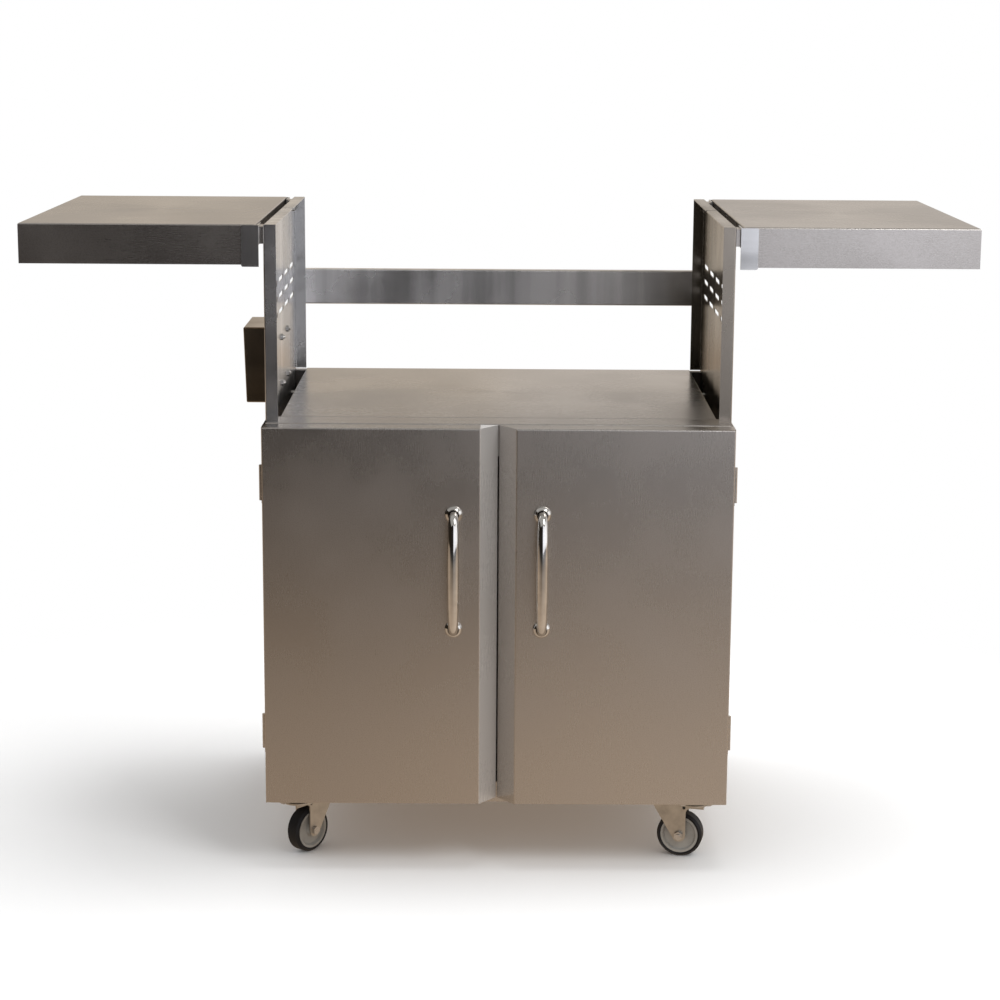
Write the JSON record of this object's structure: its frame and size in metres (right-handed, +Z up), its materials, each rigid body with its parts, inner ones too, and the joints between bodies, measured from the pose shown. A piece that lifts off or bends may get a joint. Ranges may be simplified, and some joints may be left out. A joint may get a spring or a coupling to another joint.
{
  "type": "grill cart",
  "caption": "Stainless sheet-metal cart on swivel casters: cabinet with hinged vee-edge doors, pedestals for a drop-in grill head, rear crossbar and fold-down side shelves.",
  "frame": {"origin": "on the floor under the middle of the cart's overall box", "axes": "+X to the viewer's right, -Y to the front where the doors are, +Z up"},
  "size_m": [1.506, 0.7, 1.039],
  "materials": {
    "sheet_steel": "brushed",
    "polished": "polished",
    "fasteners": "satin",
    "zinc": "zinc plated",
    "hub": "satin",
    "tyre": "matt",
    "catch_plastic": "matt"
  },
  "bodies": {
    "cart": {"right_side_panel": "sheet_steel", "left_side_panel": "sheet_steel", "floor_pan": "sheet_steel", "back_panel": "sheet_steel", "front_rail": "sheet_steel", "deck": "sheet_steel", "right_pedestal": "sheet_steel", "left_pedestal": "sheet_steel", "crossbar": "sheet_steel", "frame_bolts": "fasteners", "door_catch": "catch_plastic", "bracket_spacers": "sheet_steel", "bracket_bolts": "fasteners", "shelf_pivot_pins": "fasteners", "side_box": "sheet_steel", "side_box_bolts": "fasteners", "side_box_nuts": "polished", "frame_hinge_leaves": "sheet_steel", "frame_hinge_screws": "fasteners", "hinge_pins": "fasteners", "caster_bolts": "fasteners", "right_front_bracket": "sheet_steel", "left_front_bracket": "sheet_steel", "right_rear_bracket": "sheet_steel", "left_rear_bracket": "sheet_steel", "front_left_caster_plate": "zinc", "front_right_caster_plate": "zinc", "rear_left_caster_plate": "zinc", "rear_right_caster_plate": "zinc"},
    "left_door": {"left_door": "sheet_steel", "left_handle": "polished", "left_handle_rosettes": "polished", "left_door_screws": "fasteners", "left_door_strike": "fasteners", "left_door_hinge_leaves": "sheet_steel"},
    "left_shelf": {"left_shelf": "sheet_steel"},
    "right_door": {"right_door": "sheet_steel", "right_handle": "polished", "right_handle_rosettes": "polished", "right_door_screws": "fasteners", "right_door_strike": "fasteners", "right_door_hinge_leaves": "sheet_steel"},
    "right_shelf": {"right_shelf": "sheet_steel"},
    "front_left_fork": {"front_left_caster_fork": "zinc", "front_left_caster_axle": "fasteners"},
    "front_left_wheel": {"front_left_caster_hub": "hub", "front_left_caster_tyre": "tyre"},
    "front_right_fork": {"front_right_caster_fork": "zinc", "front_right_caster_axle": "fasteners"},
    "front_right_wheel": {"front_right_caster_hub": "hub", "front_right_caster_tyre": "tyre"},
    "rear_left_fork": {"rear_left_caster_fork": "zinc", "rear_left_caster_axle": "fasteners"},
    "rear_left_wheel": {"rear_left_caster_hub": "hub", "rear_left_caster_tyre": "tyre"},
    "rear_right_fork": {"rear_right_caster_fork": "zinc", "rear_right_caster_axle": "fasteners"},
    "rear_right_wheel": {"rear_right_caster_hub": "hub", "rear_right_caster_tyre": "tyre"}
  },
  "joints": [
    {"name": "left_door_swing", "type": "hinge", "parent": "cart", "child": "left_door", "pos_m": [-0.3755, -0.273, 0.421], "axis": [0, 0, -1], "range_deg": [0, 120]},
    {"name": "left_shelf_fold", "type": "hinge", "parent": "cart", "child": "left_shelf", "pos_m": [-0.391, 0.04025, 0.989], "axis": [0, -1, 0], "range_deg": [0, 90]},
    {"name": "right_door_swing", "type": "hinge", "parent": "cart", "child": "right_door", "pos_m": [0.3755, -0.273, 0.421], "axis": [0, 0, 1], "range_deg": [0, 120]},
    {"name": "right_shelf_fold", "type": "hinge", "parent": "cart", "child": "right_shelf", "pos_m": [0.391, 0.04025, 0.989], "axis": [0, 1, 0], "range_deg": [0, 90]},
    {"name": "front_left_swivel", "type": "hinge", "parent": "cart", "child": "front_left_fork", "pos_m": [-0.3265, -0.227, 0.094], "axis": [0, 0, 1], "continuous": true},
    {"name": "front_left_roll", "type": "hinge", "parent": "front_left_fork", "child": "front_left_wheel", "pos_m": [-0.31236, -0.21015, 0.0375], "axis": [-0.766, 0.6428, 0], "continuous": true},
    {"name": "front_right_swivel", "type": "hinge", "parent": "cart", "child": "front_right_fork", "pos_m": [0.3265, -0.227, 0.094], "axis": [0, 0, 1], "continuous": true},
    {"name": "front_right_roll", "type": "hinge", "parent": "front_right_fork", "child": "front_right_wheel", "pos_m": [0.30515, -0.22168, 0.0375], "axis": [-0.2419, -0.9703, 0], "continuous": true},
    {"name": "rear_left_swivel", "type": "hinge", "parent": "cart", "child": "rear_left_fork", "pos_m": [-0.3265, 0.285, 0.094], "axis": [0, 0, 1], "continuous": true},
    {"name": "rear_left_roll", "type": "hinge", "parent": "rear_left_fork", "child": "rear_left_wheel", "pos_m": [-0.30848, 0.29762, 0.0375], "axis": [-0.5736, 0.8192, 0], "continuous": true},
    {"name": "rear_right_swivel", "type": "hinge", "parent": "cart", "child": "rear_right_fork", "pos_m": [0.3265, 0.285, 0.094], "axis": [0, 0, 1], "continuous": true},
    {"name": "rear_right_roll", "type": "hinge", "parent": "rear_right_fork", "child": "rear_right_wheel", "pos_m": [0.31236, 0.30185, 0.0375], "axis": [-0.766, -0.6428, 0], "continuous": true}
  ]
}
